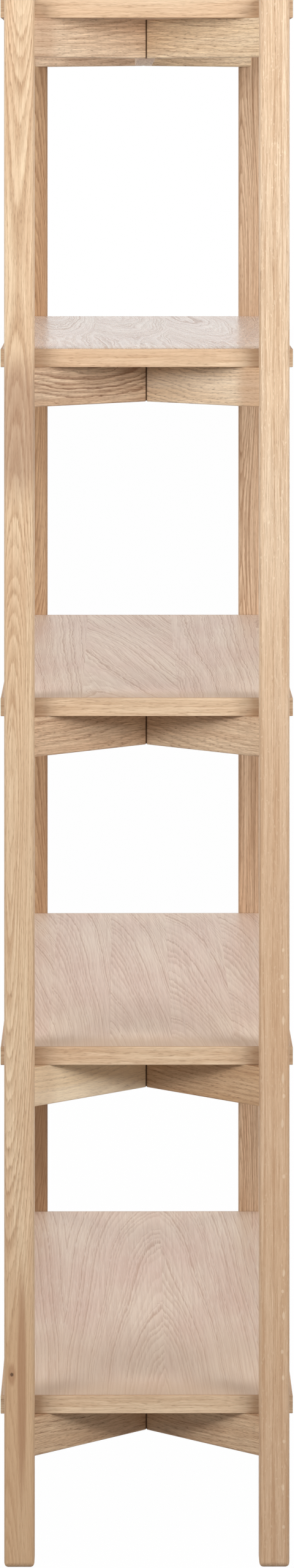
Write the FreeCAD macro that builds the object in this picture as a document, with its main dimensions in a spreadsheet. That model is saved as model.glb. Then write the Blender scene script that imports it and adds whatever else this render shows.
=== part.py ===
import FreeCAD, Part
import Sketcher
import math
import os

from FreeCAD import Placement, Rotation, Vector

# Open bookcase in oak: four square posts, five boards between them, and under each board a Y-shaped
# stretcher at either end, whose two arms grip the inner corners of the posts and meet in a mitre on
# the centre line, where a beam runs under the board from one stretcher to the other.
# Frame: X along the boards, Y from front to back, Z up, origin on the floor under the middle.

doc = FreeCAD.newDocument("bookcase")

# Driving sizes in millimetres
SIZES = [
    ("overall_length", 1200, "over the posts, along the boards"),
    ("overall_height", 1870, "floor to the top of the posts and of the top board"),
    ("board_depth", 350, "front edge to back edge"),
    ("board_overhang", 5, "board past the outer face of a post, front and back"),
    ("board_thickness", 22, ""),
    ("lowest_board", 198, "floor to the top of the lowest board, from where the rest rise evenly"),
    ("edging_thickness", 3, "solid oak glued round each veneered board"),
    ("edging_arris", 1, "rounding of the board's top and bottom arrises"),
    ("post_width", 36, "square section"),
    ("post_arris", 4, "rounding of the post's long arrises"),
    ("post_top_arris", 1, "easing round the top of a post"),
    ("foot_rounding", 7, "rounding round the foot of a post"),
    ("arm_thickness", 24, "arm of a stretcher"),
    ("arm_height", 47, "arm of a stretcher, and beam"),
    ("arm_arris", 2, "rounding of the lower arrises of arms and beams"),
    ("beam_thickness", 24, ""),
    ("arm_tenon_thickness", 8, "loose tenon from an arm into the corner of a post"),
    ("arm_tenon_height", 30, ""),
    ("arm_tenon_reach", 18, "into the arm, and as far into the post"),
    ("board_tenon_thickness", 6, "loose tenon from the end of a board into a post"),
    ("board_tenon_width", 22, ""),
    ("board_tenon_reach", 18, "into the board, and as far into the post"),
    ("tongue_thickness", 4, "plywood tongue across the mitre of two arms"),
    ("tongue_height", 35, ""),
    ("tongue_reach", 8, "into each arm"),
    ("beam_tenon_thickness", 8, "loose tenon up from a beam into its board"),
    ("beam_tenon_width", 40, ""),
    ("beam_tenon_reach", 12, "into the board, and as far into the beam"),
    ("glue_clearance", 0.1, "round every tenon and tongue in its mortise"),
    ("overrun", 5, "how far a cut starts outside the wood"),
]

sizes = doc.addObject("Spreadsheet::Sheet", "sizes")
for row, (name, number, note) in enumerate(SIZES, start=1):
    sizes.set(f"A{row}", name)
    sizes.set(f"B{row}", str(number))
    sizes.setAlias(f"B{row}", name)
    sizes.set(f"C{row}", note)
doc.recompute()

# The five levels from the floor up, the two ends and the two sides, with the sign of their half
LEVELS = ("shelf_1", "shelf_2", "shelf_3", "shelf_4", "top")
ENDS = {"left": -1, "right": 1}
SIDES = {"front": -1, "back": 1}
CORNERS = [(end, side) for end in ENDS for side in SIDES]

# From the top of one board to the top of the next
BOARD_PITCH = f"((sizes.overall_height - sizes.lowest_board) / {len(LEVELS) - 1})"

# Where the tenons of a beam stand, as shares of half its length
BEAM_TENON_SHARES = (-0.7, 0, 0.7)

# Places worked out from the driving sizes. The inner corner is the post's corner nearest the middle
# of the bookcase, and the crown is the point that a stretcher turns towards the middle.
POST_X = "((sizes.overall_length - sizes.post_width) / 2)"
POST_Y = "(sizes.board_depth / 2 - sizes.board_overhang - sizes.post_width / 2)"
INNER_X = f"({POST_X} - sizes.post_width / 2)"
INNER_Y = f"({POST_Y} - sizes.post_width / 2)"
BOARD_LENGTH = f"(2 * {INNER_X})"
HALF_CUT = "(sizes.arm_thickness / sqrt(2))"
SEAM_X = f"({INNER_X} - {INNER_Y})"
CROWN_X = f"({SEAM_X} - {HALF_CUT})"
HALF_BEAM = f"({CROWN_X} + sizes.beam_thickness / 2)"
TONGUE_X = "(sizes.tongue_reach / 2)"

# Half sizes of the mortises, which are the tenons with the glue's clearance all round
ARM_MORTISE = "(sizes.arm_tenon_thickness / 2 + sizes.glue_clearance)"
ARM_MORTISE_DEPTH = "(sizes.arm_tenon_reach + sizes.glue_clearance)"
ARM_MORTISE_HEIGHT = "(sizes.arm_tenon_height + 2 * sizes.glue_clearance)"
BOARD_MORTISE = "(sizes.board_tenon_width / 2 + sizes.glue_clearance)"
BOARD_MORTISE_DEPTH = "(sizes.board_tenon_reach + sizes.glue_clearance)"
BOARD_MORTISE_HEIGHT = "(sizes.board_tenon_thickness + 2 * sizes.glue_clearance)"
BEAM_MORTISE_DEPTH = "(sizes.beam_tenon_reach + sizes.glue_clearance)"

# Two points nearer than this are the same point
TOUCH = 0.001

Z_AXIS = Vector(0, 0, 1)


def value(expression):
    """Present value of an expression in the sheet's names."""
    return float(sizes.evalExpression(expression))


def bind(thing, expressions):
    for name, expression in expressions.items():
        thing.setExpression(name, expression)


def put(thing, x="0", y="0", z="0", turn=0):
    """Place an object at x, y and z, turned about the vertical by a number of degrees."""
    thing.Placement = Placement(Vector(), Rotation(Z_AXIS, turn))
    bind(thing, {"Placement.Base.x": x, "Placement.Base.y": y, "Placement.Base.z": z})


def board_underside(level):
    steps_down = len(LEVELS) - 1 - LEVELS.index(level)
    return f"(sizes.overall_height - {steps_down} * {BOARD_PITCH} - sizes.board_thickness)"


def arm_underside(level):
    return f"({board_underside(level)} - sizes.arm_height)"


# Outlines, as lists of corners whose two coordinates are expressions


def rectangle(left, right, front, back):
    return [(left, front), (right, front), (right, back), (left, back)]


def diagonal_rectangle(x, y, end, side, start, stop, half_width):
    """Rectangle along the line that runs outwards through an inner corner at 45 degrees."""
    corners = []
    ends = ((start, f"-{half_width}"), (stop, f"-{half_width}"), (stop, half_width), (start, half_width))
    for along, across in ends:
        step_x = f"sqrt(1 / 2) * ({end} * ({along}) - {side} * ({across}))"
        step_y = f"sqrt(1 / 2) * ({side} * ({along}) + {end} * ({across}))"
        corners.append((f"{x} + {step_x}", f"{y} + {step_y}"))
    return corners


# Features of a body


def new_body(label):
    body = doc.addObject("PartDesign::Body", label)
    body.Label = label
    return body


def origin_item(body, role):
    return next(item for item in body.Origin.OriginFeatures if item.Role == role)


def new_sketch(body, name, height="0", plane="XY_Plane"):
    """Empty sketch on one of the body's planes, lifted off it by a height."""
    sketch = body.newObject("Sketcher::SketchObject", f"{body.Label}_{name}")
    sketch.AttachmentSupport = [(origin_item(body, plane), "")]
    sketch.MapMode = "FlatFace"
    bind(sketch, {"AttachmentOffset.Base.z": height})
    return sketch


def arc_between(start, stop, middle):
    """Arc from one point to another, anticlockwise round a middle."""
    from_angle = math.atan2(start.y - middle.y, start.x - middle.x)
    to_angle = math.atan2(stop.y - middle.y, stop.x - middle.x)
    if to_angle < from_angle:
        to_angle += 2 * math.pi
    circle = Part.Circle(middle, Z_AXIS, (start - middle).Length)
    return Part.ArcOfCircle(circle, from_angle, to_angle)


def draw_outline(sketch, corners, arcs=None):
    """Closed outline, each corner held by two expressions. A side is straight, unless arcs has a
    middle and a radius under the number of the corner that the side leads to."""
    arcs = arcs or {}
    first = sketch.GeometryCount
    count = len(corners)
    points = [Vector(value(x), value(y), 0) for x, y in corners]
    for i in range(count):
        if i in arcs:
            middle = Vector(value(arcs[i][0]), value(arcs[i][1]), 0)
            side = arc_between(points[i - 1], points[i], middle)
        else:
            side = Part.LineSegment(points[i - 1], points[i])
        sketch.addGeometry(side, False)
    for i, (x, y) in enumerate(corners):
        side = first + i
        following = first + (i + 1) % count
        sketch.addConstraint(Sketcher.Constraint("Coincident", side, 2, following, 1))
        held_x = sketch.addConstraint(Sketcher.Constraint("DistanceX", side, 2, points[i].x))
        held_y = sketch.addConstraint(Sketcher.Constraint("DistanceY", side, 2, points[i].y))
        bind(sketch, {f"Constraints[{held_x}]": x, f"Constraints[{held_y}]": y})
    for i, (_, _, radius) in arcs.items():
        held = sketch.addConstraint(Sketcher.Constraint("Radius", first + i, value(radius)))
        bind(sketch, {f"Constraints[{held}]": radius})


def pad(body, corners, height):
    sketch = new_sketch(body, "plan")
    draw_outline(sketch, corners)
    feature = body.newObject("PartDesign::Pad", f"{body.Label}_pad")
    feature.Profile = sketch
    bind(feature, {"Length": height})
    doc.recompute()
    return feature


def must_cut(body, before, feature):
    """Stop if a feature that should take wood away has left the volume as it was."""
    doc.recompute()
    if not body.Shape.Volume < before - TOUCH:
        raise RuntimeError(f"{feature.Label} cuts nothing")


def mortise(body, name, outlines, top, height):
    """Cut upright-walled mortises down from a height."""
    before = body.Shape.Volume
    sketch = new_sketch(body, name, top)
    for corners in outlines:
        draw_outline(sketch, corners)
    feature = body.newObject("PartDesign::Pocket", f"{body.Label}_{name}_pocket")
    feature.Profile = sketch
    bind(feature, {"Length": height})
    must_cut(body, before, feature)
    return feature


def dress_edges(body, name, kind, measure, size, wanted):
    """Fillet or chamfer the edges whose middle point passes the test."""
    base = body.Tip
    edges = [f"Edge{n}" for n, edge in enumerate(base.Shape.Edges, start=1) if wanted(edge.CenterOfMass)]
    before = body.Shape.Volume
    feature = body.newObject(kind, f"{body.Label}_{name}")
    feature.Base = (base, edges)
    bind(feature, {measure: size})
    must_cut(body, before, feature)


def round_over(body, name, radius, wanted):
    dress_edges(body, name, "PartDesign::Fillet", "Radius", radius, wanted)


def chamfer(body, name, size, wanted):
    dress_edges(body, name, "PartDesign::Chamfer", "Size", size, wanted)


def round_foot(body, plane):
    """Round the two lower corners of a post's outline, as seen square to one of its planes."""
    half = "sizes.post_width / 2"
    radius = "sizes.foot_rounding"
    corners = [
        (f"-{half}", radius),
        (f"-{half} + {radius}", "0"),
        (f"{half} - {radius}", "0"),
        (half, radius),
        (f"{half} + sizes.overrun", radius),
        (f"{half} + sizes.overrun", "-sizes.overrun"),
        (f"-{half} - sizes.overrun", "-sizes.overrun"),
        (f"-{half} - sizes.overrun", radius),
    ]
    arcs = {1: (f"-{half} + {radius}", radius, radius), 3: (f"{half} - {radius}", radius, radius)}
    before = body.Shape.Volume
    sketch = new_sketch(body, f"foot_{plane}", plane=plane)
    draw_outline(sketch, corners, arcs)
    feature = body.newObject("PartDesign::Pocket", f"{body.Label}_foot_{plane}_pocket")
    feature.Profile = sketch
    feature.Type = "ThroughAll"
    feature.Midplane = True
    must_cut(body, before, feature)


# The pieces


def make_post(end, side):
    """Square post with eased arrises and a rounded foot, and at each level a mortise in its inner
    corner for the arm of the stretcher and one in its inner face for the board."""
    towards_end, towards_side = ENDS[end], SIDES[side]
    body = new_body(f"post_{end}_{side}")
    half = "sizes.post_width / 2"
    pad(body, rectangle(f"-{half}", half, f"-{half}", half), "sizes.overall_height")
    tall = value("sizes.overall_height")
    round_over(body, "long_arrises", "sizes.post_arris", lambda p: TOUCH < p.z < tall - TOUCH)
    chamfer(body, "top_easing", "sizes.post_top_arris", lambda p: p.z > tall - TOUCH)
    round_foot(body, "XZ_Plane")
    round_foot(body, "YZ_Plane")

    corner_x, corner_y = f"-{towards_end} * {half}", f"-{towards_side} * {half}"
    arm_plan = diagonal_rectangle(
        corner_x, corner_y, towards_end, towards_side, "-sizes.overrun", ARM_MORTISE_DEPTH, ARM_MORTISE
    )
    arm_top = f"{arm_underside('top')} + (sizes.arm_height + {ARM_MORTISE_HEIGHT}) / 2"
    board_plan = rectangle(
        f"{towards_end} * (-{half} - sizes.overrun)",
        f"{towards_end} * (-{half} + {BOARD_MORTISE_DEPTH})",
        f"-{BOARD_MORTISE}",
        BOARD_MORTISE,
    )
    board_top = f"{board_underside('top')} + (sizes.board_thickness + {BOARD_MORTISE_HEIGHT}) / 2"
    pockets = [
        mortise(body, "arm_mortise", [arm_plan], arm_top, ARM_MORTISE_HEIGHT),
        mortise(body, "board_mortise", [board_plan], board_top, BOARD_MORTISE_HEIGHT),
    ]
    before = body.Shape.Volume
    levels = body.newObject("PartDesign::LinearPattern", f"{body.Label}_levels")
    levels.Originals = pockets
    levels.Direction = (origin_item(body, "Z_Axis"), [""])
    levels.Reversed = True
    levels.Occurrences = len(LEVELS)
    bind(levels, {"Length": "sizes.overall_height - sizes.lowest_board"})
    body.Tip = levels
    must_cut(body, before, levels)
    put(body, f"{towards_end} * {POST_X}", f"{towards_side} * {POST_Y}")
    return body


def make_arm(level, end, side):
    """One arm of a stretcher, drawn from the post's inner corner. Its outer end is a bird's mouth
    over that corner, and its inner end is the mitre on the centre line."""
    e, s = ENDS[end], SIDES[side]
    body = new_body(f"{level}_arm_{end}_{side}")
    plan = [
        (f"{e} * {HALF_CUT}", "0"),
        ("0", "0"),
        ("0", f"{s} * {HALF_CUT}"),
        (f"{e} * (-{INNER_Y} - {HALF_CUT})", f"-{s} * {INNER_Y}"),
        (f"{e} * ({HALF_CUT} - {INNER_Y})", f"-{s} * {INNER_Y}"),
    ]
    pad(body, plan, "sizes.arm_height")

    seam_x, seam_y = value(plan[4][0]), value(plan[4][1])

    def eased(p):
        on_underside = p.z < TOUCH and e * p.x + s * p.y < 0
        on_seam = abs(p.x - seam_x) < TOUCH and abs(p.y - seam_y) < TOUCH
        return on_underside or on_seam and p.z < value("sizes.arm_height") - TOUCH

    round_over(body, "arrises", "sizes.arm_arris", eased)

    tenon = diagonal_rectangle("0", "0", e, s, f"-{ARM_MORTISE_DEPTH}", "sizes.overrun", ARM_MORTISE)
    tenon_top = f"(sizes.arm_height + {ARM_MORTISE_HEIGHT}) / 2"
    mortise(body, "post_mortise", [tenon], tenon_top, ARM_MORTISE_HEIGHT)

    half_groove = "(sizes.tongue_thickness / 2 + sizes.glue_clearance)"
    groove_height = "(sizes.tongue_height + 2 * sizes.glue_clearance)"
    middle = f"({TONGUE_X} - {INNER_Y})"
    groove = rectangle(
        f"{e} * ({middle} - {half_groove})",
        f"{e} * ({middle} + {half_groove})",
        f"-{s} * ({INNER_Y} + sizes.overrun)",
        f"-{s} * ({INNER_Y} - sizes.tongue_reach - sizes.glue_clearance)",
    )
    groove_top = f"(sizes.arm_height + {groove_height}) / 2"
    mortise(body, "mitre_groove", [groove], groove_top, groove_height)
    put(body, f"{e} * {INNER_X}", f"{s} * {INNER_Y}", arm_underside(level))
    return body


def beam_mortises():
    """Plans of the mortises that a beam and its board share."""
    half = "(sizes.beam_tenon_width / 2 + sizes.glue_clearance)"
    across = "(sizes.beam_tenon_thickness / 2 + sizes.glue_clearance)"
    plans = []
    for share in BEAM_TENON_SHARES:
        x = f"{share} * {HALF_BEAM}"
        plans.append(rectangle(f"{x} - {half}", f"{x} + {half}", f"-{across}", across))
    return plans


def make_beam(level):
    """Beam between the crowns of two stretchers, with a bird's mouth over each crown and mortises
    in its top for the tenons that hold the board."""
    body = new_body(f"{level}_beam")
    half = "sizes.beam_thickness / 2"
    plan = [
        (HALF_BEAM, f"-{half}"),
        (CROWN_X, "0"),
        (HALF_BEAM, half),
        (f"-{HALF_BEAM}", half),
        (f"-{CROWN_X}", "0"),
        (f"-{HALF_BEAM}", f"-{half}"),
    ]
    pad(body, plan, "sizes.arm_height")
    edge_y = value(half)
    round_over(body, "arrises", "sizes.arm_arris", lambda p: p.z < TOUCH and abs(p.y) > edge_y - TOUCH)
    depth = f"{BEAM_MORTISE_DEPTH} + sizes.overrun"
    mortise(body, "board_mortises", beam_mortises(), "sizes.arm_height + sizes.overrun", depth)
    put(body, z=arm_underside(level))
    return body


def make_panel(level):
    """Veneered core of a board, with a mortise for each post and one for each tenon of the beam."""
    body = new_body(f"{level}_panel")
    half_length = f"({BOARD_LENGTH} / 2 - sizes.edging_thickness)"
    half_depth = "(sizes.board_depth / 2 - sizes.edging_thickness)"
    plan = rectangle(f"-{half_length}", half_length, f"-{half_depth}", half_depth)
    pad(body, plan, "sizes.board_thickness")

    mortises = []
    for end, side in CORNERS:
        e, s = ENDS[end], SIDES[side]
        mortises.append(
            rectangle(
                f"{e} * ({BOARD_LENGTH} / 2 - {BOARD_MORTISE_DEPTH})",
                f"{e} * ({BOARD_LENGTH} / 2 + sizes.overrun)",
                f"{s} * ({POST_Y} - {BOARD_MORTISE})",
                f"{s} * ({POST_Y} + {BOARD_MORTISE})",
            )
        )
    mortise_top = f"(sizes.board_thickness + {BOARD_MORTISE_HEIGHT}) / 2"
    mortise(body, "post_mortises", mortises, mortise_top, BOARD_MORTISE_HEIGHT)
    depth = f"{BEAM_MORTISE_DEPTH} + sizes.overrun"
    mortise(body, "beam_mortises", beam_mortises(), BEAM_MORTISE_DEPTH, depth)
    put(body, z=board_underside(level))
    return body


def make_end_edging(level, end):
    """Oak strip on the end of a board, over its whole depth, with a slot for each post's tenon."""
    e = ENDS[end]
    body = new_body(f"{level}_edging_{end}")
    half = "sizes.edging_thickness / 2"
    half_depth = "sizes.board_depth / 2"
    plan = rectangle(f"-{half}", half, f"-{half_depth}", half_depth)
    pad(body, plan, "sizes.board_thickness")
    inner_x = -value(half)
    middle_z = value("sizes.board_thickness") / 2

    def eased(p):
        return abs(p.z - middle_z) > middle_z - TOUCH and e * p.x > inner_x + TOUCH

    round_over(body, "arrises", "sizes.edging_arris", eased)

    slots = []
    for s in SIDES.values():
        slots.append(
            rectangle(
                f"-{half} - sizes.overrun",
                f"{half} + sizes.overrun",
                f"{s} * ({POST_Y} - {BOARD_MORTISE})",
                f"{s} * ({POST_Y} + {BOARD_MORTISE})",
            )
        )
    slot_top = f"(sizes.board_thickness + {BOARD_MORTISE_HEIGHT}) / 2"
    mortise(body, "tenon_slots", slots, slot_top, BOARD_MORTISE_HEIGHT)
    put(body, f"{e} * ({BOARD_LENGTH} / 2 - {half})", z=board_underside(level))
    return body


def make_side_edging(level, side):
    """Oak strip along the front or the back of a board, between the two end strips."""
    s = SIDES[side]
    body = new_body(f"{level}_edging_{side}")
    half = "sizes.edging_thickness / 2"
    half_length = f"({BOARD_LENGTH} / 2 - sizes.edging_thickness)"
    plan = rectangle(f"-{half_length}", half_length, f"-{half}", half)
    pad(body, plan, "sizes.board_thickness")
    middle_z = value("sizes.board_thickness") / 2

    def eased(p):
        return abs(p.z - middle_z) > middle_z - TOUCH and s * p.y > TOUCH

    round_over(body, "arrises", "sizes.edging_arris", eased)
    put(body, y=f"{s} * (sizes.board_depth / 2 - {half})", z=board_underside(level))
    return body


# Loose tenons and tongues, each kind gathered in one node


def gather(label, solids):
    node = doc.addObject("Part::Compound", label)
    node.Label = label
    node.Links = solids
    return node


def block(name, length, width, height):
    solid = doc.addObject("Part::Box", name)
    bind(solid, {"Length": length, "Width": width, "Height": height})
    return solid


def make_arm_tenons():
    """Loose tenons from the arms into the posts, through the inner corners at 45 degrees."""
    turns = {("right", "back"): 45, ("left", "back"): 135, ("left", "front"): 225, ("right", "front"): 315}
    half = "(sizes.arm_tenon_thickness / 2)"
    tenons = []
    for level in LEVELS:
        for end, side in CORNERS:
            e, s = ENDS[end], SIDES[side]
            tenon = block(
                f"{level}_arm_tenon_{end}_{side}",
                "2 * sizes.arm_tenon_reach",
                "sizes.arm_tenon_thickness",
                "sizes.arm_tenon_height",
            )
            plan = diagonal_rectangle(
                f"{e} * {INNER_X}", f"{s} * {INNER_Y}", e, s, "-sizes.arm_tenon_reach", "0", half
            )
            z = f"{arm_underside(level)} + (sizes.arm_height - sizes.arm_tenon_height) / 2"
            put(tenon, plan[0][0], plan[0][1], z, turns[end, side])
            tenons.append(tenon)
    return gather("arm_tenons", tenons)


def make_board_tenons():
    """Loose tenons from the ends of the boards into the inner faces of the posts."""
    tenons = []
    for level in LEVELS:
        for end, side in CORNERS:
            e, s = ENDS[end], SIDES[side]
            tenon = block(
                f"{level}_board_tenon_{end}_{side}",
                "2 * sizes.board_tenon_reach",
                "sizes.board_tenon_width",
                "sizes.board_tenon_thickness",
            )
            x = f"{e} * {INNER_X} - sizes.board_tenon_reach"
            y = f"{s} * {POST_Y} - sizes.board_tenon_width / 2"
            z = f"{board_underside(level)} + (sizes.board_thickness - sizes.board_tenon_thickness) / 2"
            put(tenon, x, y, z)
            tenons.append(tenon)
    return gather("board_tenons", tenons)


def make_mitre_tongues():
    """Plywood tongues that cross the mitres of the stretchers."""
    tongues = []
    for level in LEVELS:
        for end, e in ENDS.items():
            tongue = block(
                f"{level}_tongue_{end}",
                "sizes.tongue_thickness",
                "2 * sizes.tongue_reach",
                "sizes.tongue_height",
            )
            x = f"{e} * ({SEAM_X} + {TONGUE_X}) - sizes.tongue_thickness / 2"
            z = f"{arm_underside(level)} + (sizes.arm_height - sizes.tongue_height) / 2"
            put(tongue, x, "-sizes.tongue_reach", z)
            tongues.append(tongue)
    return gather("mitre_tongues", tongues)


def make_beam_tenons():
    """Loose tenons that stand in the beams and reach up into the boards."""
    tenons = []
    for level in LEVELS:
        for number, share in enumerate(BEAM_TENON_SHARES, start=1):
            tenon = block(
                f"{level}_beam_tenon_{number}",
                "sizes.beam_tenon_width",
                "sizes.beam_tenon_thickness",
                "2 * sizes.beam_tenon_reach",
            )
            x = f"{share} * {HALF_BEAM} - sizes.beam_tenon_width / 2"
            z = f"{board_underside(level)} - sizes.beam_tenon_reach"
            put(tenon, x, "-sizes.beam_tenon_thickness / 2", z)
            tenons.append(tenon)
    return gather("beam_tenons", tenons)


parts = [make_post(end, side) for end, side in CORNERS]
for level in LEVELS:
    parts.append(make_panel(level))
    parts += [make_end_edging(level, end) for end in ENDS]
    parts += [make_side_edging(level, side) for side in SIDES]
    parts += [make_arm(level, end, side) for end, side in CORNERS]
    parts.append(make_beam(level))
parts += [make_arm_tenons(), make_board_tenons(), make_mitre_tongues(), make_beam_tenons()]
doc.recompute()

for thing in doc.Objects:
    if "Invalid" in thing.State or "Error" in thing.State:
        raise RuntimeError(f"{thing.Label} could not be computed")
for piece in parts:
    if piece.Shape.isNull() or not piece.Shape.isValid():
        raise RuntimeError(f"{piece.Label} has no valid solid")

os.makedirs("parts", exist_ok=True)
for piece in parts:
    piece.Shape.exportStep(f"parts/{piece.Label}.step")
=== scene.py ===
import math

import bpy
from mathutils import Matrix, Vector


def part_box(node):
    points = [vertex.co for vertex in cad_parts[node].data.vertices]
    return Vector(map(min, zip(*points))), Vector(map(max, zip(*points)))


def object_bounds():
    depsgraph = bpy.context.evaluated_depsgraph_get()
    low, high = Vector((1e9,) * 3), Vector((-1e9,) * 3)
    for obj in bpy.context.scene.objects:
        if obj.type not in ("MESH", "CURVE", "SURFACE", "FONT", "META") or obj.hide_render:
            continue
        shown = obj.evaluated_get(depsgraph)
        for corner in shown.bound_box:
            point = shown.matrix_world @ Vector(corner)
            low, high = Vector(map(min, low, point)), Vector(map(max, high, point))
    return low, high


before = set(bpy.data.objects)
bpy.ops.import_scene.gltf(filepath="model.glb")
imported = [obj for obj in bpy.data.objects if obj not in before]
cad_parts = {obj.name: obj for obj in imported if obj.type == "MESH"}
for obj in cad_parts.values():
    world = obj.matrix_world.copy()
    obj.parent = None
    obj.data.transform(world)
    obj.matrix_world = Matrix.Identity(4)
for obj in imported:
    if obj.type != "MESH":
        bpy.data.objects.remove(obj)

# Oak bookcase seen square on to one end. X runs along the boards, Y from front to back, Z up.
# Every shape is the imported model's own, so this script gives it wood, light and a camera.

cad_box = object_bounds()

MM = 0.001
LEVELS = ("shelf_1", "shelf_2", "shelf_3", "shelf_4", "top")
ENDS = {"left": -1, "right": 1}
SIDES = {"front": -1, "back": 1}
# The end that faces the camera
NEAR_END = cad_box[1][0]


def linear(colour):
    """Linear colour from an sRGB hex value."""
    parts = [int(colour[i:i + 2], 16) / 255 for i in (1, 3, 5)]
    return tuple(p / 12.92 if p <= 0.04045 else ((p + 0.055) / 1.055) ** 2.4 for p in parts) + (1.0,)


def metres(sizes):
    """Sizes in metres, from millimetres."""
    return tuple(size * MM for size in sizes)


def node(tree, kind, settings=None, inputs=None):
    """Add a node. An input is a value, or a socket that is linked to it."""
    new = tree.nodes.new(kind)
    for name, value in (settings or {}).items():
        setattr(new, name, value)
    for name, value in (inputs or {}).items():
        if isinstance(value, bpy.types.NodeSocket):
            tree.links.new(value, new.inputs[name])
        else:
            new.inputs[name].default_value = value
    return new


# Wood

# Turns from a piece's own grain directions to the object's. The grain runs along the piece's X.
GRAIN_X = (0, 0, 0)
GRAIN_Y = (0, 0, math.pi / 2)


def grain_up(lean):
    """Turn of a grain that runs up a post and leans to the back by a share of its height."""
    return (-math.pi / 2, lean - math.pi / 2, math.pi / 2)


# The noises that oak is made of: the detail, the stretch of the noise that is used, and the share
# at its low end, which is -1 for what moves the rings to and fro and 0 for what tints the wood
FEATURES = {
    "wander": (1, 0.25, 0.75, -1),
    "ripple": (2, 0.2, 0.8, -1),
    "feather": (2, 0.25, 0.75, -1),
    "drift": (2, 0.3, 0.7, 0),
    "streaks": (2, 0.4, 0.75, 0),
    "fibres": (3, 0.3, 0.75, 0),
    "pores": (1, 0.52, 0.68, 0),
    "flecks": (1, 0.64, 0.72, 0),
}
NOISE_ROUGHNESS = 0.55
# How far each noise is taken from the one before it
NOISE_STEP = 5.3

# The least slip of a leaf of veneer along, across and into the board, in millimetres, and how much
# more it can be
LEAST_SLIP = (-450, -20, 0)
MORE_SLIP = (900, 40, 30)

# How fast wide and narrow years take turns, how many years they move the rings by, and the share
# of a year at which the next early wood sets in
YEARS_PACE = 0.31
YEARS_SHIFT = 2.0
ONSET = 0.85

# Pores in the late wood, as a share of those in the early wood
STRAY_PORES = 0.3
# How deep the pores lie under the lacquer's surface, in millimetres, and how much of that shows
PORE_DEPTH = 0.15
PORE_BUMP = 0.3
# How much rougher the lacquer is over open wood
OPEN_ROUGHER = 0.15
LACQUER_IOR = 1.5

# Over how many millimetres the line at the edge of the veneer fades, and how strongly it covers
VENEER_FADE = 0.3
VENEER_SHARE = 0.7
GLUE = "#54341C"
GLUE_SHARE = 0.85

# How much the fibres fray the edge of a mark, and from where to where the frayed edge fades, in
# half sizes of the mark
FRAY = 0.9
FADE_FROM = 1.0
FADE_TO = 1.6


def leaves(tree, grain, cut, seed):
    """Part the grain into leaves of veneer, each slipped along from the next and laid at a slight
    skew of its own. The match lays the leaves all one way up (FRACT) or opens each like a page
    from the one before (PINGPONG). Gives the new grain and a draw between 0 and 1 for each leaf."""
    width, skew = cut["leaf"], cut["skew"]
    split = node(tree, "ShaderNodeSeparateXYZ", inputs={0: grain})
    across = node(
        tree,
        "ShaderNodeMath",
        {"operation": "MULTIPLY_ADD"},
        {0: split.outputs["Y"], 1: 1 / (width * MM), 2: -cut["joint"] / width},
    )
    number = node(tree, "ShaderNodeMath", {"operation": "FLOOR"}, {0: across.outputs[0]})
    within = node(tree, "ShaderNodeMath", {"operation": cut["match"]}, {0: across.outputs[0], 1: 1.0})
    from_middle = node(
        tree,
        "ShaderNodeMath",
        {"operation": "MULTIPLY_ADD"},
        {0: within.outputs[0], 1: width * MM, 2: -width * MM / 2},
    )
    own = node(tree, "ShaderNodeMath", {"operation": "ADD"}, {0: number.outputs[0], 1: seed})
    draw = node(tree, "ShaderNodeTexWhiteNoise", {"noise_dimensions": "1D"}, {"W": own.outputs[0]})
    lean = node(
        tree,
        "ShaderNodeMath",
        {"operation": "MULTIPLY_ADD"},
        {0: draw.outputs["Value"], 1: 2 * skew, 2: -skew},
    )
    skewed = node(
        tree,
        "ShaderNodeMath",
        {"operation": "MULTIPLY_ADD"},
        {0: split.outputs["X"], 1: lean.outputs[0], 2: from_middle.outputs[0]},
    )
    slip = node(
        tree,
        "ShaderNodeVectorMath",
        {"operation": "MULTIPLY_ADD"},
        {0: draw.outputs["Color"], 1: metres(MORE_SLIP), 2: metres(LEAST_SLIP)},
    )
    place = node(
        tree,
        "ShaderNodeCombineXYZ",
        inputs={"X": split.outputs["X"], "Y": skewed.outputs[0], "Z": split.outputs["Z"]},
    )
    moved = node(
        tree, "ShaderNodeVectorMath", {"operation": "ADD"}, {0: place.outputs[0], 1: slip.outputs[0]}
    )
    return moved.outputs[0], draw.outputs["Value"]


def grain_noises(tree, grain, cut, seed):
    """Each noise as it is, and the share or the length that it gives."""
    noises, shares = {}, {}
    for number, (feature, (detail, low, high, least)) in enumerate(FEATURES.items()):
        amount, along, across = cut[feature]
        scale = (1 / (along * MM), 1 / (across * MM), 1 / (across * MM))
        stretched = node(
            tree,
            "ShaderNodeVectorMath",
            {"operation": "MULTIPLY_ADD"},
            {0: grain, 1: scale, 2: (seed + NOISE_STEP * number,) * 3},
        )
        noise = node(
            tree,
            "ShaderNodeTexNoise",
            inputs={
                "Vector": stretched.outputs[0],
                "Scale": 1.0,
                "Detail": float(detail),
                "Roughness": NOISE_ROUGHNESS,
            },
        )
        most = amount * MM if least else amount
        spread = node(
            tree,
            "ShaderNodeMapRange",
            {"interpolation_type": "SMOOTHSTEP"},
            {
                "Value": noise.outputs["Fac"],
                "From Min": low,
                "From Max": high,
                "To Min": least * most,
                "To Max": most,
            },
        )
        noises[feature] = noise.outputs["Fac"]
        shares[feature] = spread.outputs[0]
    return noises, shares


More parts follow.
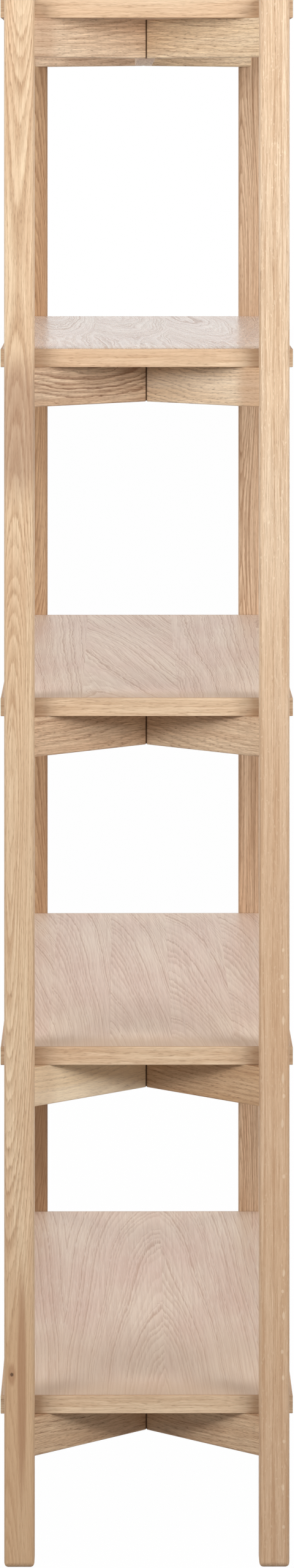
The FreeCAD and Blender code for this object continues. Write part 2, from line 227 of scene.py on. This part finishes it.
def early_wood(tree, split, shares, cut):
    """How open the wood is, from the growth rings. They are tubes round a pith that lies beside the
    piece and swings along it, so a flat-sawn face shows arches and a quarter-sawn one lines."""
    swing, swing_length, swing_peak = cut["swing"]
    turns = 2 * math.pi / (swing_length * MM)
    angle = node(
        tree,
        "ShaderNodeMath",
        {"operation": "MULTIPLY_ADD"},
        {0: split.outputs["X"], 1: turns, 2: -turns * swing_peak * MM},
    )
    wave = node(tree, "ShaderNodeMath", {"operation": "COSINE"}, {0: angle.outputs[0]})
    swung = node(
        tree,
        "ShaderNodeMath",
        {"operation": "MULTIPLY_ADD"},
        {0: wave.outputs[0], 1: swing * MM, 2: cut["pith_depth"] * MM},
    )
    sloped = node(
        tree,
        "ShaderNodeMath",
        {"operation": "MULTIPLY_ADD"},
        {0: split.outputs["X"], 1: cut["slope"], 2: swung.outputs[0]},
    )
    pith = node(tree, "ShaderNodeMath", {"operation": "ADD"}, {0: shares["wander"], 1: sloped.outputs[0]})
    deep = node(tree, "ShaderNodeMath", {"operation": "ADD"}, {0: split.outputs["Z"], 1: pith.outputs[0]})
    aside = node(
        tree, "ShaderNodeMath", {"operation": "ADD"}, {0: split.outputs["Y"], 1: cut["pith_aside"] * MM}
    )
    from_pith = node(tree, "ShaderNodeCombineXYZ", inputs={"Y": aside.outputs[0], "Z": deep.outputs[0]})
    radius = node(tree, "ShaderNodeVectorMath", {"operation": "LENGTH"}, {0: from_pith.outputs[0]})
    rippled = node(
        tree, "ShaderNodeMath", {"operation": "ADD"}, {0: shares["ripple"], 1: radius.outputs["Value"]}
    )
    feathered = node(
        tree, "ShaderNodeMath", {"operation": "ADD"}, {0: shares["feather"], 1: rippled.outputs[0]}
    )
    years = node(
        tree,
        "ShaderNodeMath",
        {"operation": "MULTIPLY"},
        {0: feathered.outputs[0], 1: 1 / (cut["ring"] * MM)},
    )
    slow_years = node(
        tree, "ShaderNodeMath", {"operation": "MULTIPLY"}, {0: years.outputs[0], 1: YEARS_PACE}
    )
    uneven = node(
        tree,
        "ShaderNodeTexNoise",
        {"noise_dimensions": "1D"},
        {"W": slow_years.outputs[0], "Scale": 1.0, "Detail": 1.0},
    )
    ring = node(
        tree,
        "ShaderNodeMath",
        {"operation": "MULTIPLY_ADD"},
        {0: uneven.outputs["Fac"], 1: YEARS_SHIFT, 2: years.outputs[0]},
    )
    phase = node(tree, "ShaderNodeMath", {"operation": "FRACT"}, {0: ring.outputs[0]}).outputs[0]
    year = node(tree, "ShaderNodeMath", {"operation": "FLOOR"}, {0: ring.outputs[0]})
    vigour = node(tree, "ShaderNodeTexWhiteNoise", {"noise_dimensions": "1D"}, {"W": year.outputs[0]})
    bold = node(
        tree, "ShaderNodeMapRange", inputs={"Value": vigour.outputs["Value"], "To Min": cut["least_bold"]}
    )
    # The early wood starts with a sharp edge and fades into the late wood
    fade = node(
        tree,
        "ShaderNodeMapRange",
        {"interpolation_type": "SMOOTHSTEP"},
        {"Value": phase, "From Max": cut["early"], "To Min": 1.0, "To Max": 0.0},
    )
    onset = node(
        tree,
        "ShaderNodeMapRange",
        {"interpolation_type": "SMOOTHSTEP"},
        {"Value": phase, "From Min": ONSET, "From Max": 1.0},
    )
    open_wood = node(
        tree, "ShaderNodeMath", {"operation": "MAXIMUM"}, {0: fade.outputs[0], 1: onset.outputs[0]}
    )
    early = node(
        tree, "ShaderNodeMath", {"operation": "MULTIPLY"}, {0: open_wood.outputs[0], 1: bold.outputs[0]}
    )
    return early.outputs[0]


def veneer_edge(tree, split, cut):
    """The edge of the veneer, which shows as a fine dark line above and below a strip."""
    height = node(tree, "ShaderNodeMath", {"operation": "ABSOLUTE"}, {0: split.outputs["Z"]})
    edge = cut["veneer_line"] * MM
    veneer = node(
        tree,
        "ShaderNodeMapRange",
        inputs={
            "Value": height.outputs[0],
            "From Min": edge - VENEER_FADE * MM,
            "From Max": edge,
            "To Max": VENEER_SHARE,
        },
    )
    return veneer.outputs[0]


def mitre_glue(tree, place, cut):
    """The mitre's joint on the centre line, drawn as wide as it needs to show."""
    split = node(tree, "ShaderNodeSeparateXYZ", inputs={0: place})
    off_centre = node(tree, "ShaderNodeMath", {"operation": "ABSOLUTE"}, {0: split.outputs["Y"]})
    half = cut["glue_line"] * MM / 2
    glue = node(
        tree,
        "ShaderNodeMapRange",
        inputs={
            "Value": off_centre.outputs[0],
            "From Min": half / 2,
            "From Max": half,
            "To Min": GLUE_SHARE,
            "To Max": 0.0,
        },
    )
    return glue.outputs[0]


def spot(tree, place, fibres, point, size, strength):
    """A spot on the object whose edge frays along the fibres."""
    offset = node(
        tree,
        "ShaderNodeMapping",
        {"vector_type": "TEXTURE"},
        {"Vector": place, "Location": point, "Scale": metres(size)},
    )
    reach = node(tree, "ShaderNodeVectorMath", {"operation": "LENGTH"}, {0: offset.outputs[0]})
    frayed = node(
        tree,
        "ShaderNodeMath",
        {"operation": "MULTIPLY_ADD"},
        {0: fibres, 1: FRAY, 2: reach.outputs["Value"]},
    )
    cover = node(
        tree,
        "ShaderNodeMapRange",
        {"interpolation_type": "SMOOTHSTEP"},
        {
            "Value": frayed.outputs[0],
            "From Min": FADE_FROM,
            "From Max": FADE_TO,
            "To Min": strength,
            "To Max": 0.0,
        },
    )
    return cover.outputs[0]


def wood(name, centre, turn, cut, seed, marks=()):
    """Oak under a white-pigmented lacquer: pale, with a soft gloss and browner rings, streaks and
    pores. The raw joinery is drawn the same way in its own colours. cut holds the colours and the
    sizes of one way of cutting the wood, and marks the spots on this piece."""
    material = bpy.data.materials.new(name)
    material.use_nodes = True
    tree = material.node_tree
    tree.nodes.clear()
    place = node(tree, "ShaderNodeTexCoord").outputs["Object"]
    mapping = node(
        tree,
        "ShaderNodeMapping",
        {"vector_type": "TEXTURE"},
        {"Vector": place, "Location": centre, "Rotation": turn},
    )
    grain = mapping.outputs["Vector"]
    if "leaf" in cut:
        grain, draw = leaves(tree, grain, cut, seed)
    split = node(tree, "ShaderNodeSeparateXYZ", inputs={0: grain})
    noises, shares = grain_noises(tree, grain, cut, seed)
    early = early_wood(tree, split, shares, cut)
    line = node(
        tree, "ShaderNodeMath", {"operation": "MULTIPLY"}, {0: early, 1: cut["ring_contrast"]}
    ).outputs[0]
    # Open pores crowd into the early wood as short dark strokes
    crowd = node(
        tree,
        "ShaderNodeMath",
        {"operation": "MULTIPLY_ADD"},
        {0: early, 1: 1 - STRAY_PORES, 2: STRAY_PORES},
    )
    pores = node(
        tree, "ShaderNodeMath", {"operation": "MULTIPLY"}, {0: shares["pores"], 1: crowd.outputs[0]}
    ).outputs[0]

    layers = [
        (shares["drift"], cut["pink"]),
        (shares["streaks"], cut["dark"]),
        (shares["fibres"], cut["dark"]),
        (line, cut["dark"]),
        (pores, cut["pore"]),
        (shares["flecks"], cut["ray"]),
    ]
    if "leaf" in cut:
        tone = node(tree, "ShaderNodeMath", {"operation": "MULTIPLY"}, {0: draw, 1: cut["leaf_contrast"]})
        layers.append((tone.outputs[0], cut["dark"]))
    if "veneer_line" in cut:
        layers.append((veneer_edge(tree, split, cut), cut["dark"]))
    if "glue_line" in cut:
        layers.append((mitre_glue(tree, place, cut), GLUE))
    for point, size, shade, strength in marks:
        layers.append((spot(tree, place, noises["fibres"], point, size, strength), shade))
    colour = linear(cut["light"])
    for share, shade in layers:
        mixed = node(tree, "ShaderNodeMix", {"data_type": "RGBA"}, {0: share, 6: colour, 7: linear(shade)})
        colour = mixed.outputs[2]

    # Lacquer sinks into the open wood and its pores, so they are duller and lie a little lower
    dull = node(tree, "ShaderNodeMath", {"operation": "ADD"}, {0: pores, 1: line})
    roughness = node(
        tree,
        "ShaderNodeMapRange",
        inputs={
            "Value": dull.outputs[0],
            "To Min": cut["roughness"],
            "To Max": cut["roughness"] + OPEN_ROUGHER,
        },
    )
    bump = node(
        tree,
        "ShaderNodeBump",
        {"invert": True},
        {"Strength": PORE_BUMP, "Distance": PORE_DEPTH * MM, "Height": pores},
    )
    surface = node(
        tree,
        "ShaderNodeBsdfPrincipled",
        inputs={
            "Base Color": colour,
            "Roughness": roughness.outputs[0],
            "IOR": LACQUER_IOR,
            "Normal": bump.outputs[0],
        },
    )
    node(tree, "ShaderNodeOutputMaterial", inputs={"Surface": surface.outputs[0]})
    return material


# Cuts of the oak, from the same tree. Lengths are in millimetres, and each noise has its amount,
# its length along the grain and its width across it. Real pores and fibres are about 0.3 mm wide,
# too fine to show, so they are drawn two to four times as wide.

# Flat-sawn: nested arches, whose points turn about where the pith swings nearest or farthest
FLAT = {
    "light": "#E4CDAE",
    "pink": "#D8BA9A",
    "dark": "#A5805F",
    "pore": "#7C5D43",
    "ray": "#F3E3C9",
    "ring": 2.0,  # width of a year
    "early": 0.8,  # share of a year over which its early wood fades
    "least_bold": 0.3,  # the faintest year, as a share of the boldest
    "ring_contrast": 0.65,
    "pith_depth": 38,  # below the piece's middle
    "pith_aside": 2,
    "slope": 0.0,  # of the pith along the piece
    "swing": (14, 1300, 600),  # how far the pith swings, over what length, and where it is deepest
    "wander": (4, 400, 900),
    "ripple": (0.2, 90, 12),
    "feather": (0.25, 20, 1.2),
    "drift": (1.0, 320, 25),
    "streaks": (0.35, 200, 2.4),
    "fibres": (0.4, 50, 0.9),
    "pores": (0.5, 9, 0.7),
    "flecks": (0.0, 5, 2.2),
    "roughness": 0.5,
}
# Quarter-sawn: the pith lies far to one side, so the face shows straight lines and ray flecks
QUARTER = dict(
    FLAT,
    light="#ECD8BE",
    pink="#E2C8AA",
    ring=2.6,
    least_bold=0.0,
    ring_contrast=0.5,
    pith_depth=30,
    pith_aside=110,
    swing=(3, 1300, 0),
    ripple=(1.6, 200, 9),
    streaks=(0.6, 220, 4.0),
    fibres=(0.6, 40, 0.9),
    flecks=(0.3, 6, 2.0),
)
# Flat-sawn, darker and browner all over
DARK_FLAT = dict(FLAT, light="#CDAC89", pink="#C19C78", dark="#875F40", pore="#664629", swing=(10, 900, 0))
# Flat-sawn nearer to the heartwood: pinker, with browner streaks
INNER = dict(
    FLAT,
    light="#E4C8AA",
    pink="#D6B291",
    dark="#8F6848",
    ring_contrast=0.7,
    pith_aside=22,
    swing=(5, 700, 200),
    streaks=(0.6, 220, 3.0),
)
# Arms and beams: broad quiet rings that rise and fall, under short brown strokes. They are drawn
# paler than the other oak, as painted light on faces that the lamps leave too dim
RAIL = dict(
    FLAT,
    light="#F2DABB",
    pink="#E7C7A6",
    dark="#8F6445",
    pore="#6E4D36",
    ring=5.5,
    early=0.7,
    least_bold=0.1,
    ring_contrast=0.35,
    pith_depth=48,
    pith_aside=26,
    slope=0.05,
    swing=(4, 300, 0),
    wander=(6, 300, 900),
    ripple=(1.2, 120, 14),
    feather=(0.5, 30, 1.4),
    streaks=(0.35, 90, 1.6),
    fibres=(0.5, 22, 0.7),
    pores=(0.8, 7, 0.6),
)
ARM = dict(RAIL, glue_line=2.6)
# Each level's arms. Their paler and browner colours are painted light and painted shade; where their grain
# differs, that grain is their own
ARMS = {
    "shelf_1": dict(ARM, light="#E9CFAE", pink="#DCBA97"),
    "shelf_2": ARM,
    "shelf_3": dict(ARM, slope=0.12),
    "shelf_4": dict(
        ARM,
        light="#FAE5C8",
        dark="#7E5238",
        ring=5.0,
        ring_contrast=0.8,
        ripple=(3.0, 90, 18),
        wander=(8, 220, 900),
    ),
    "top": dict(ARM, light="#FAE4C7", pink="#EED0B0"),
}
# Arms that are paler, browner or quieter than the rest of their level. The quieter grain is their
# own; the paler and browner colours are partly their own wood and partly painted light and painted
# shade
OWN_ARMS = {
    ("shelf_2", "front"): dict(
        ARM,
        light="#FDEBCE",
        pink="#F6DDB9",
        ring_contrast=0.2,
        streaks=(0.05, 90, 1.6),
        fibres=(0.2, 22, 0.7),
        pores=(0.4, 7, 0.6),
    ),
    ("shelf_2", "back"): dict(ARM, light="#E0C19D", pink="#D0AB84"),
    ("shelf_4", "back"): dict(
        ARMS["shelf_4"],
        light="#FFEDD3",
        pink="#F0D4B0",
        ring_contrast=0.3,
        streaks=(0.15, 90, 1.6),
        fibres=(0.28, 22, 0.7),
    ),
    ("top", "back"): dict(ARM, light="#FBE7C7", pink="#F2D8B3", ring_contrast=0.3),
}
# Thin strips glued round the boards, straight in the grain
STRIP = dict(
    FLAT,
    light="#E2CBAE",
    pink="#D6B899",
    ring=1.7,
    ring_contrast=0.45,
    pith_depth=60,
    swing=(2, 400, 0),
    wander=(3, 300, 900),
    ripple=(0.5, 80, 7),
    streaks=(0.25, 200, 2.0),
    veneer_line=10.7,
)
# The veneer is the same oak sliced thin and laid in leaves. Its pores hold more of the white
# pigment, so it is paler and pinker, with broad quiet lines, and its lacquer is the smoothest
VENEER = dict(
    FLAT,
    light="#EBD9C5",
    pink="#E1C6B5",
    dark="#A9836C",
    pore="#F4ECE2",
    ring=3.4,
    early=0.9,
    least_bold=0.15,
    ring_contrast=0.85,
    pith_depth=34,
    pith_aside=0,
    slope=0.03,
    skew=0.1,
    match="FRACT",
    swing=(4, 900, 0),
    wander=(6, 600, 900),
    ripple=(0.8, 300, 18),
    feather=(0.25, 120, 2.0),
    drift=(1.0, 300, 80),
    streaks=(0.25, 600, 4),
    fibres=(0.25, 250, 1.2),
    pores=(0.5, 50, 1.1),
    leaf_contrast=0.12,
    roughness=0.4,
)
# Each board's veneer, with the width of a leaf and how far a joint between two leaves lies from the
# centre line
BOARDS = {
    "shelf_1": dict(
        VENEER,
        leaf=127,
        joint=-104,
        match="PINGPONG",
        light="#E2CFBA",
        pink="#D8BBA9",
        ring=2.8,
        ring_contrast=0.7,
        pith_depth=60,
        pith_aside=-84,
        slope=-0.05,
        skew=0.05,
        swing=(2, 900, 0),
        wander=(4, 600, 900),
    ),
    "shelf_2": dict(
        VENEER,
        leaf=75,
        joint=-44,
        ring=2.8,
        ring_contrast=0.7,
        pith_depth=45,
        pith_aside=52,
        slope=-0.05,
        skew=0.06,
        wander=(4, 600, 900),
    ),
    "shelf_3": dict(
        VENEER,
        leaf=115,
        joint=-77,
        ring=2.6,
        ring_contrast=0.78,
        pith_depth=60,
        pith_aside=80,
        slope=-0.04,
        wander=(4, 600, 900),
        ripple=(1.2, 80, 20),
    ),
    "shelf_4": dict(
        VENEER,
        leaf=96,
        joint=31,
        light="#F7EBDD",
        pink="#EFDCCF",
        ring=2.6,
        ripple=(1.6, 200, 12),
        roughness=0.22,
    ),
    "top": dict(VENEER, leaf=104, joint=12, roughness=0.5),
}
# Each post's cut and lean
POSTS = {
    ("left", "front"): (DARK_FLAT, 0.0),
    ("left", "back"): (INNER, 0.004),
    ("right", "front"): (dict(FLAT, pith_aside=9), 0.012),
    ("right", "back"): (QUARTER, 0.0),
}
# Hidden joinery, sawn and left raw: pinkish beech and paler birch
BEECH = dict(FLAT, light="#D9B48F", pink="#CFA37B", dark="#BC8F66", pore="#8A5A3C")
BIRCH = dict(FLAT, light="#E2CBA3", pink="#D8BC91", dark="#C7A578", pore="#B08D62")

# Marks on the wood. Each has its middle in metres, its half sizes in millimetres, its colour and
# how strongly it covers. WHOLE is the half size of one that takes in the whole width or length.

WHOLE = 9000
# Ray flecks stand in a loose row down the quarter-sawn post. Each has its height, its place across
# and its half length
FLECKS = (
    (0.737, 162.2, 2.6),
    (0.705, 161.4, 3.4),
    (0.688, 163.0, 2.2),
    (0.653, 162.6, 5.6),
    (0.584, 162.0, 7.0),
    (0.563, 163.4, 2.8),
    (0.530, 161.6, 6.2),
    (0.467, 163.2, 3.0),
    (0.352, 163.0, 4.6),
    (0.330, 161.8, 2.4),
    (0.301, 162.8, 5.2),
    (0.258, 161.2, 3.0),
    (0.227, 162.4, 3.6),
    (0.151, 163.2, 2.6),
    (0.096, 162.0, 4.2),
    (0.049, 163.0, 2.8),
)
FLECK_DEPTH = 4
FLECK_WIDTH = 1.9
FLECK_SHARE = 0.32
# Browner wood along the two near posts, the knot low on one of them and the row of ray flecks,
# and painted shade low on the far post at the front
POST_MARKS = {
    ("right", "front"): [
        ((NEAR_END, -0.157, 1.36), (60, 60, 90), "#8C6B58", 0.5),
        ((NEAR_END, -0.157, 0.92), (60, 60, 300), "#B08A66", 0.15),
        ((NEAR_END, -0.157, 0.10), (60, 60, 260), "#BC9874", 0.6),
        ((NEAR_END, -0.149, 0.22), (30, 6, 150), "#94694A", 0.6),
        ((NEAR_END, -0.161, 0.231), (6, 5, 14), "#9A7050", 0.6),
        ((NEAR_END, -0.161, 0.231), (3, 2.2, 2.6), "#553A26", 0.95),
    ],
    ("right", "back"): [((NEAR_END, 0.157, 0.2), (60, 60, 1000), "#B58C69", 0.45)]
    + [
        ((NEAR_END, across * MM, height), (FLECK_DEPTH, FLECK_WIDTH, length), QUARTER["ray"], FLECK_SHARE)
        for height, across, length in FLECKS
    ],
    # Painted shade: the far front post is drawn darker brown low down
    ("left", "front"): [((-NEAR_END, -0.157, 0.35), (60, 60, 260), "#775539", 0.8)],
}
# Painted shade on the arms next to the near post, where the post shades them: drawn browner there
ARM_POST_SHADE = {
    ("top", "front"): [((0.580, -0.130, 1.822), (60, 26, 60), "#B18563", 0.4)],
    ("shelf_4", "back"): [((0.580, 0.130, 1.405), (60, 26, 60), "#B78862", 0.5)],
    ("shelf_2", "front"): [((0.580, -0.130, 0.570), (60, 26, 60), "#B18563", 0.25)],
}
# How much darker and yellower each board is drawn over its last 0.4 m and over its last 0.1 m, at
# the near end
BOARD_ENDS = {
    "shelf_1": (0.32, 0.62),
    "shelf_2": (0.2, 0.75),
    "shelf_3": (0.0, 0.65),
    "shelf_4": (0.0, 0.7),
    "top": (0.0, 0.6),
}
BOARD_END_REACHES = (420, 120)
BOARD_END_TONE = "#B89B7F"
# Painted shadow of the posts on the end strips: how much browner each end strip is drawn where
# it runs into the front and the back post, and how far from the centre line that is
STRIP_POST_SHADOWS = {
    "shelf_1": (0.5, 0.45),
    "shelf_2": (0.22, 0.36),
    "shelf_3": (0.2, 0.42),
    "shelf_4": (0.13, 0.42),
    "top": (0.0, 0.28),
}
STRIP_SHADOW_PLACE = 139
STRIP_SHADOW_SIZE = (WHOLE, 16, 200)
STRIP_SHADOW_TONE = "#8F6A48"

# Where in the noises each kind of piece starts, and how far on the next one of its kind is
SEEDS = {
    "post": (1, 3.1),
    "panel": (0.2, 1.37),
    "strip_across": (2, 5.3),
    "strip_along": (3, 6.1),
    "beam": (0, 4.7),
    "arm": (9, 2.9),
    "tenon": (1.5, 0),
    "tongue": (2.5, 0),
}
# How far before or after its level's place in the noises an arm at the front or the back starts
ARM_SIDE_STEP = 0.4


def seed_of(kind, number=0):
    start, step = SEEDS[kind]
    return step * number + start


def middle(node_name):
    """Middle of a node's box."""
    low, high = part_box(node_name)
    return tuple((a + b) / 2 for a, b in zip(low, high))


def coat(node_name, material):
    """Give a node one material all over."""
    mesh = bpy.data.objects[node_name].data
    mesh.materials.clear()
    mesh.materials.append(material)


def coat_panel(level, number):
    centre = middle(f"{level}_panel")
    yellower = [
        ((NEAR_END, 0, centre[2]), (reach, WHOLE, WHOLE), BOARD_END_TONE, share)
        for reach, share in zip(BOARD_END_REACHES, BOARD_ENDS[level])
    ]
    veneer = wood(
        f"oak_veneer_lacquered_{level}", centre, GRAIN_X, BOARDS[level], seed_of("panel", number), yellower
    )
    coat(f"{level}_panel", veneer)


def coat_strips(level, number):
    centre = middle(f"{level}_panel")
    # Painted shadow of the posts on each end strip
    post_shadows = [
        ((0, STRIP_SHADOW_PLACE * MM * s, centre[2]), STRIP_SHADOW_SIZE, STRIP_SHADOW_TONE, share)
        for s, share in zip(SIDES.values(), STRIP_POST_SHADOWS[level])
    ]
    across_seed, along_seed = seed_of("strip_across", number), seed_of("strip_along", number)
    across = wood(f"oak_lacquered_strip_across_{level}", centre, GRAIN_Y, STRIP, across_seed, post_shadows)
    along = wood(f"oak_lacquered_strip_along_{level}", centre, GRAIN_X, STRIP, along_seed)
    for end in ENDS:
        coat(f"{level}_edging_{end}", across)
    for side in SIDES:
        coat(f"{level}_edging_{side}", along)


def coat_stretchers(level, number):
    name = f"{level}_beam"
    coat(name, wood(f"oak_lacquered_beam_{level}", middle(name), GRAIN_X, RAIL, seed_of("beam", number)))
    for end, side in POSTS:
        name = f"{level}_arm_{end}_{side}"
        turn = (0, 0, math.atan2(SIDES[side], ENDS[end]))
        own = seed_of("arm", number) + ENDS[end] + ARM_SIDE_STEP * SIDES[side]
        cut = OWN_ARMS.get((level, side), ARMS[level])
        # Painted shade next to the near post
        marks = ARM_POST_SHADE.get((level, side), ())
        coat(name, wood(f"oak_lacquered_{name}", middle(name), turn, cut, own, marks))


for number, ((end, side), (cut, lean)) in enumerate(POSTS.items()):
    name = f"post_{end}_{side}"
    turn = grain_up(lean)
    marks = POST_MARKS.get((end, side), ())
    coat(name, wood(f"oak_lacquered_{name}", middle(name), turn, cut, seed_of("post", number), marks))
for number, level in enumerate(LEVELS):
    coat_panel(level, number)
    coat_strips(level, number)
    coat_stretchers(level, number)
for name in ("arm_tenons", "board_tenons", "beam_tenons"):
    coat(name, wood(f"beech_sawn_{name}", (0, 0, 0), GRAIN_X, BEECH, seed_of("tenon")))
coat("mitre_tongues", wood("birch_plywood_sawn", (0, 0, 0), GRAIN_X, BIRCH, seed_of("tongue")))


# Floor, backdrop and light

FLOOR_SIZE = 80
FLOOR_PAPER = "#A4A09A"
# How much of the floor's white is its own, which the shadow doesn't darken
WHITE_SHARE = 0.99
# The white room's light on the bookcase, where the white that the camera sees is 1
AMBIENT = 0.05


def white_rays(tree):
    """One on the rays that see the floor and the backdrop: the camera's own, and those that gloss
    or glass sends on."""
    paths = node(tree, "ShaderNodeLightPath")
    seen = node(
        tree,
        "ShaderNodeMath",
        {"operation": "MAXIMUM"},
        {0: paths.outputs["Is Camera Ray"], 1: paths.outputs["Is Glossy Ray"]},
    )
    through = node(
        tree,
        "ShaderNodeMath",
        {"operation": "MAXIMUM"},
        {0: seen.outputs[0], 1: paths.outputs["Is Transmission Ray"]},
    )
    return through.outputs[0]


def white_paper():
    """Paper on the floor, white to the camera, that keeps part of the shadow that falls on it."""
    material = bpy.data.materials.new("floor_white_paper")
    material.use_nodes = True
    tree = material.node_tree
    tree.nodes.clear()
    share = node(
        tree, "ShaderNodeMath", {"operation": "MULTIPLY"}, {0: white_rays(tree), 1: WHITE_SHARE}
    )
    paper = node(tree, "ShaderNodeBsdfDiffuse", inputs={"Color": linear(FLOOR_PAPER)})
    glow = node(tree, "ShaderNodeEmission", inputs={"Color": linear("#FFFFFF"), "Strength": 1.0})
    both = node(
        tree, "ShaderNodeMixShader", inputs={0: share.outputs[0], 1: paper.outputs[0], 2: glow.outputs[0]}
    )
    node(tree, "ShaderNodeOutputMaterial", inputs={"Surface": both.outputs[0]})
    return material


bpy.ops.mesh.primitive_plane_add(size=FLOOR_SIZE)
floor = bpy.context.object
floor.name = "floor"
floor.data.materials.append(white_paper())

world = bpy.data.worlds.new("studio")
bpy.context.scene.world = world
world.use_nodes = True
tree = world.node_tree
tree.nodes.clear()
strength = node(
    tree, "ShaderNodeMapRange", inputs={"Value": white_rays(tree), "To Min": AMBIENT, "To Max": 1.0}
)
sky = node(
    tree, "ShaderNodeBackground", inputs={"Color": linear("#FFFFFF"), "Strength": strength.outputs[0]}
)
node(tree, "ShaderNodeOutputWorld", inputs={"Surface": sky.outputs[0]})

# Softboxes, each with its place, the point that it faces, its width and height, its power in watts
# and its spread in degrees. Those of a pair stand one on either side of the bookcase.
PAIRS = {
    "softbox_low": ((3.6, 2.2, 2.05), (0.5, 0, 1.9), 1.8, 0.7, 63, 180),
    "softbox_high": ((2.9, 1.9, 2.7), (0.5, 0, 1.9), 1.8, 0.8, 31, 180),
    "softbox_side": ((0.2, 2.6, 2.9), (0, 0, 1.2), 2.4, 1.6, 22, 150),
    "softbox_far": ((-3.6, 2.4, 1.3), (-0.5, 0, 1.1), 1.8, 1.4, 63, 180),
}
SINGLES = {
    "softbox_over": ((1.6, 0, 3.6), (0.3, 0, 1.2), 2.4, 1.6, 12, 180),
    "softbox_top": ((-0.3, 0, 3.7), (-0.3, 0, 1.9), 2.0, 1.4, 9, 180),
}


def softbox(name, place, aim, width, height, power, spread):
    lamp = bpy.data.lights.new(name, "AREA")
    lamp.shape = "RECTANGLE"
    lamp.size = width
    lamp.size_y = height
    lamp.energy = power
    lamp.spread = math.radians(spread)
    holder = bpy.data.objects.new(name, lamp)
    # Gloss reflects the white room, so the lamps don't glare in it as well
    holder.visible_glossy = False
    holder.location = place
    holder.rotation_euler = (Vector(aim) - Vector(place)).to_track_quat("-Z", "Y").to_euler()
    bpy.context.scene.collection.objects.link(holder)


for side, s in SIDES.items():
    for name, ((x, y, z), *rest) in PAIRS.items():
        softbox(f"{name}_{side}", (x, y * s, z), *rest)
for name, lamp in SINGLES.items():
    softbox(name, *lamp)


# Camera, far off and between the heights of the two upper boards, tilted down a little, with its
# frame shifted down to take in the feet. FOCUS and AXIS are in pixels of the photograph.

PHOTO = (480, 2560)
SENSOR = 36.0
FOCUS = 9076.6
AXIS = (240.0, 249.9)
CAMERA_PLACE = (7.2166, -0.0303, 1.7211)
CAMERA_TILT = math.radians(0.3)
CAMERA_TURN = 0.0046

camera = bpy.data.cameras.new("camera")
camera.sensor_width = SENSOR
camera.lens = FOCUS * SENSOR / max(PHOTO)
camera.shift_x = (PHOTO[0] / 2 - AXIS[0]) / max(PHOTO)
camera.shift_y = (AXIS[1] - PHOTO[1] / 2) / max(PHOTO)
camera.clip_start = 0.1
camera.clip_end = 200
viewer = bpy.data.objects.new("camera", camera)
viewer.location = CAMERA_PLACE
viewer.rotation_euler = (math.pi / 2 - CAMERA_TILT, 0, math.pi / 2 - CAMERA_TURN)
bpy.context.scene.collection.objects.link(viewer)
bpy.context.scene.camera = viewer

bpy.context.scene.view_settings.view_transform = "Standard"
